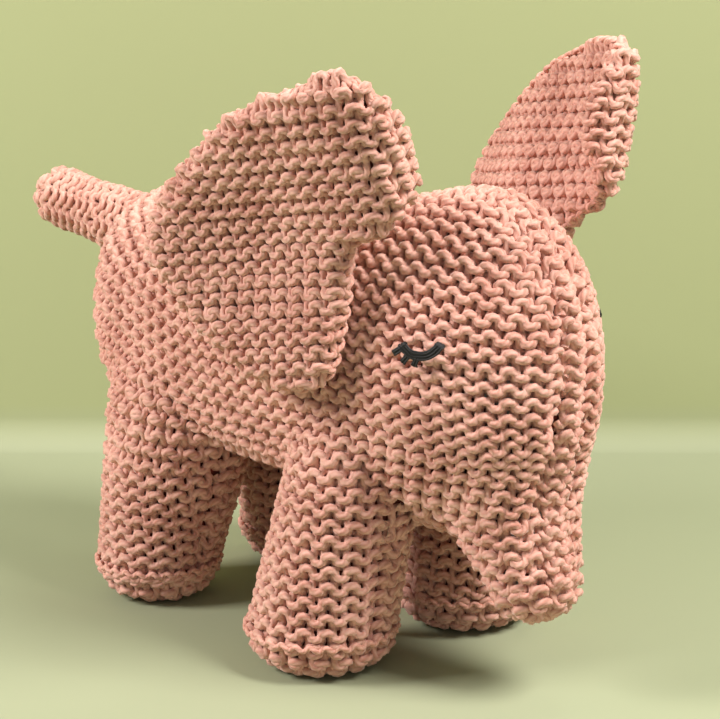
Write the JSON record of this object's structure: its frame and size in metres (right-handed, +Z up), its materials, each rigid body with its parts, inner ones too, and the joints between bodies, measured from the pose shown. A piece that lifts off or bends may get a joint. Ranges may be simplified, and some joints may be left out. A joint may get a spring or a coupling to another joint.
{
  "type": "stuffed elephant",
  "caption": "Hand-knitted stuffed elephant in garter stitch, standing on rounded feet, with flexing trunk, sewn-on double ears and tail, and closed embroidered eyes.",
  "frame": {"origin": "middle of the bounding box on the ground under the soles", "axes": "+Z up, -Y the way the elephant faces, +X its own left side"},
  "size_m": [0.1548, 0.303, 0.2089],
  "materials": {
    "knit": "garter-stitch knit in matte blush cotton yarn",
    "seam_yarn": "matte blush cotton sewing yarn",
    "lining": "plain woven cotton lining in dark rose",
    "stuffing": "loose white polyester fibre",
    "floss": "black cotton embroidery floss with a slight satin sheen"
  },
  "bodies": {
    "body": {"side_panel_right": "knit", "side_panel_left": "knit", "top_gusset": "knit", "belly_gusset": "knit", "sole_front_right": "knit", "sole_front_left": "knit", "sole_hind_right": "knit", "sole_hind_left": "knit", "sole_yarn_front_right": "seam_yarn", "sole_yarn_front_left": "seam_yarn", "sole_yarn_hind_right": "seam_yarn", "sole_yarn_hind_left": "seam_yarn", "lining_bag": "lining", "body_stuffing": "stuffing", "eye_right": "floss", "eye_left": "floss"},
    "trunk": {"trunk_skin": "knit", "trunk_tip_cap": "knit", "trunk_stuffing": "stuffing"},
    "ear_right": {"ear_right_front_panel": "knit", "ear_right_back_panel": "knit", "ear_right_padding": "stuffing", "ear_right_edge_yarn": "seam_yarn"},
    "ear_left": {"ear_left_front_panel": "knit", "ear_left_back_panel": "knit", "ear_left_padding": "stuffing", "ear_left_edge_yarn": "seam_yarn"},
    "tail_seam": {"tail_seam_yarn": "seam_yarn"},
    "tail": {"tail_skin": "knit", "tail_stuffing": "stuffing"}
  },
  "joints": [
    {"name": "trunk_lift", "type": "hinge", "parent": "body", "child": "trunk", "pos_m": [0, -0.11449, 0.077], "axis": [-1, 0, 0], "range_deg": [-8, 25], "stiffness_Nm_per_rad": 0.12},
    {"name": "ear_right_flap", "type": "hinge", "parent": "body", "child": "ear_right", "pos_m": [-0.0455, -0.09624, 0.1255], "axis": [0.0929, -0.2904, 0.9524], "range_deg": [-5, 45], "stiffness_Nm_per_rad": 0.1},
    {"name": "ear_left_flap", "type": "hinge", "parent": "body", "child": "ear_left", "pos_m": [0.0455, -0.09624, 0.1255], "axis": [0.0929, 0.2904, -0.9524], "range_deg": [-5, 45], "stiffness_Nm_per_rad": 0.1},
    {"name": "tail_swing", "type": "hinge", "parent": "body", "child": "tail_seam", "pos_m": [0, 0.07551, 0.124], "axis": [0, 0, 1], "range_deg": [-25, 25], "stiffness_Nm_per_rad": 0.08},
    {"name": "tail_lift", "type": "hinge", "parent": "tail_seam", "child": "tail", "pos_m": [0, 0.07551, 0.124], "axis": [1, 0, 0], "range_deg": [-20, 30], "stiffness_Nm_per_rad": 0.08}
  ]
}
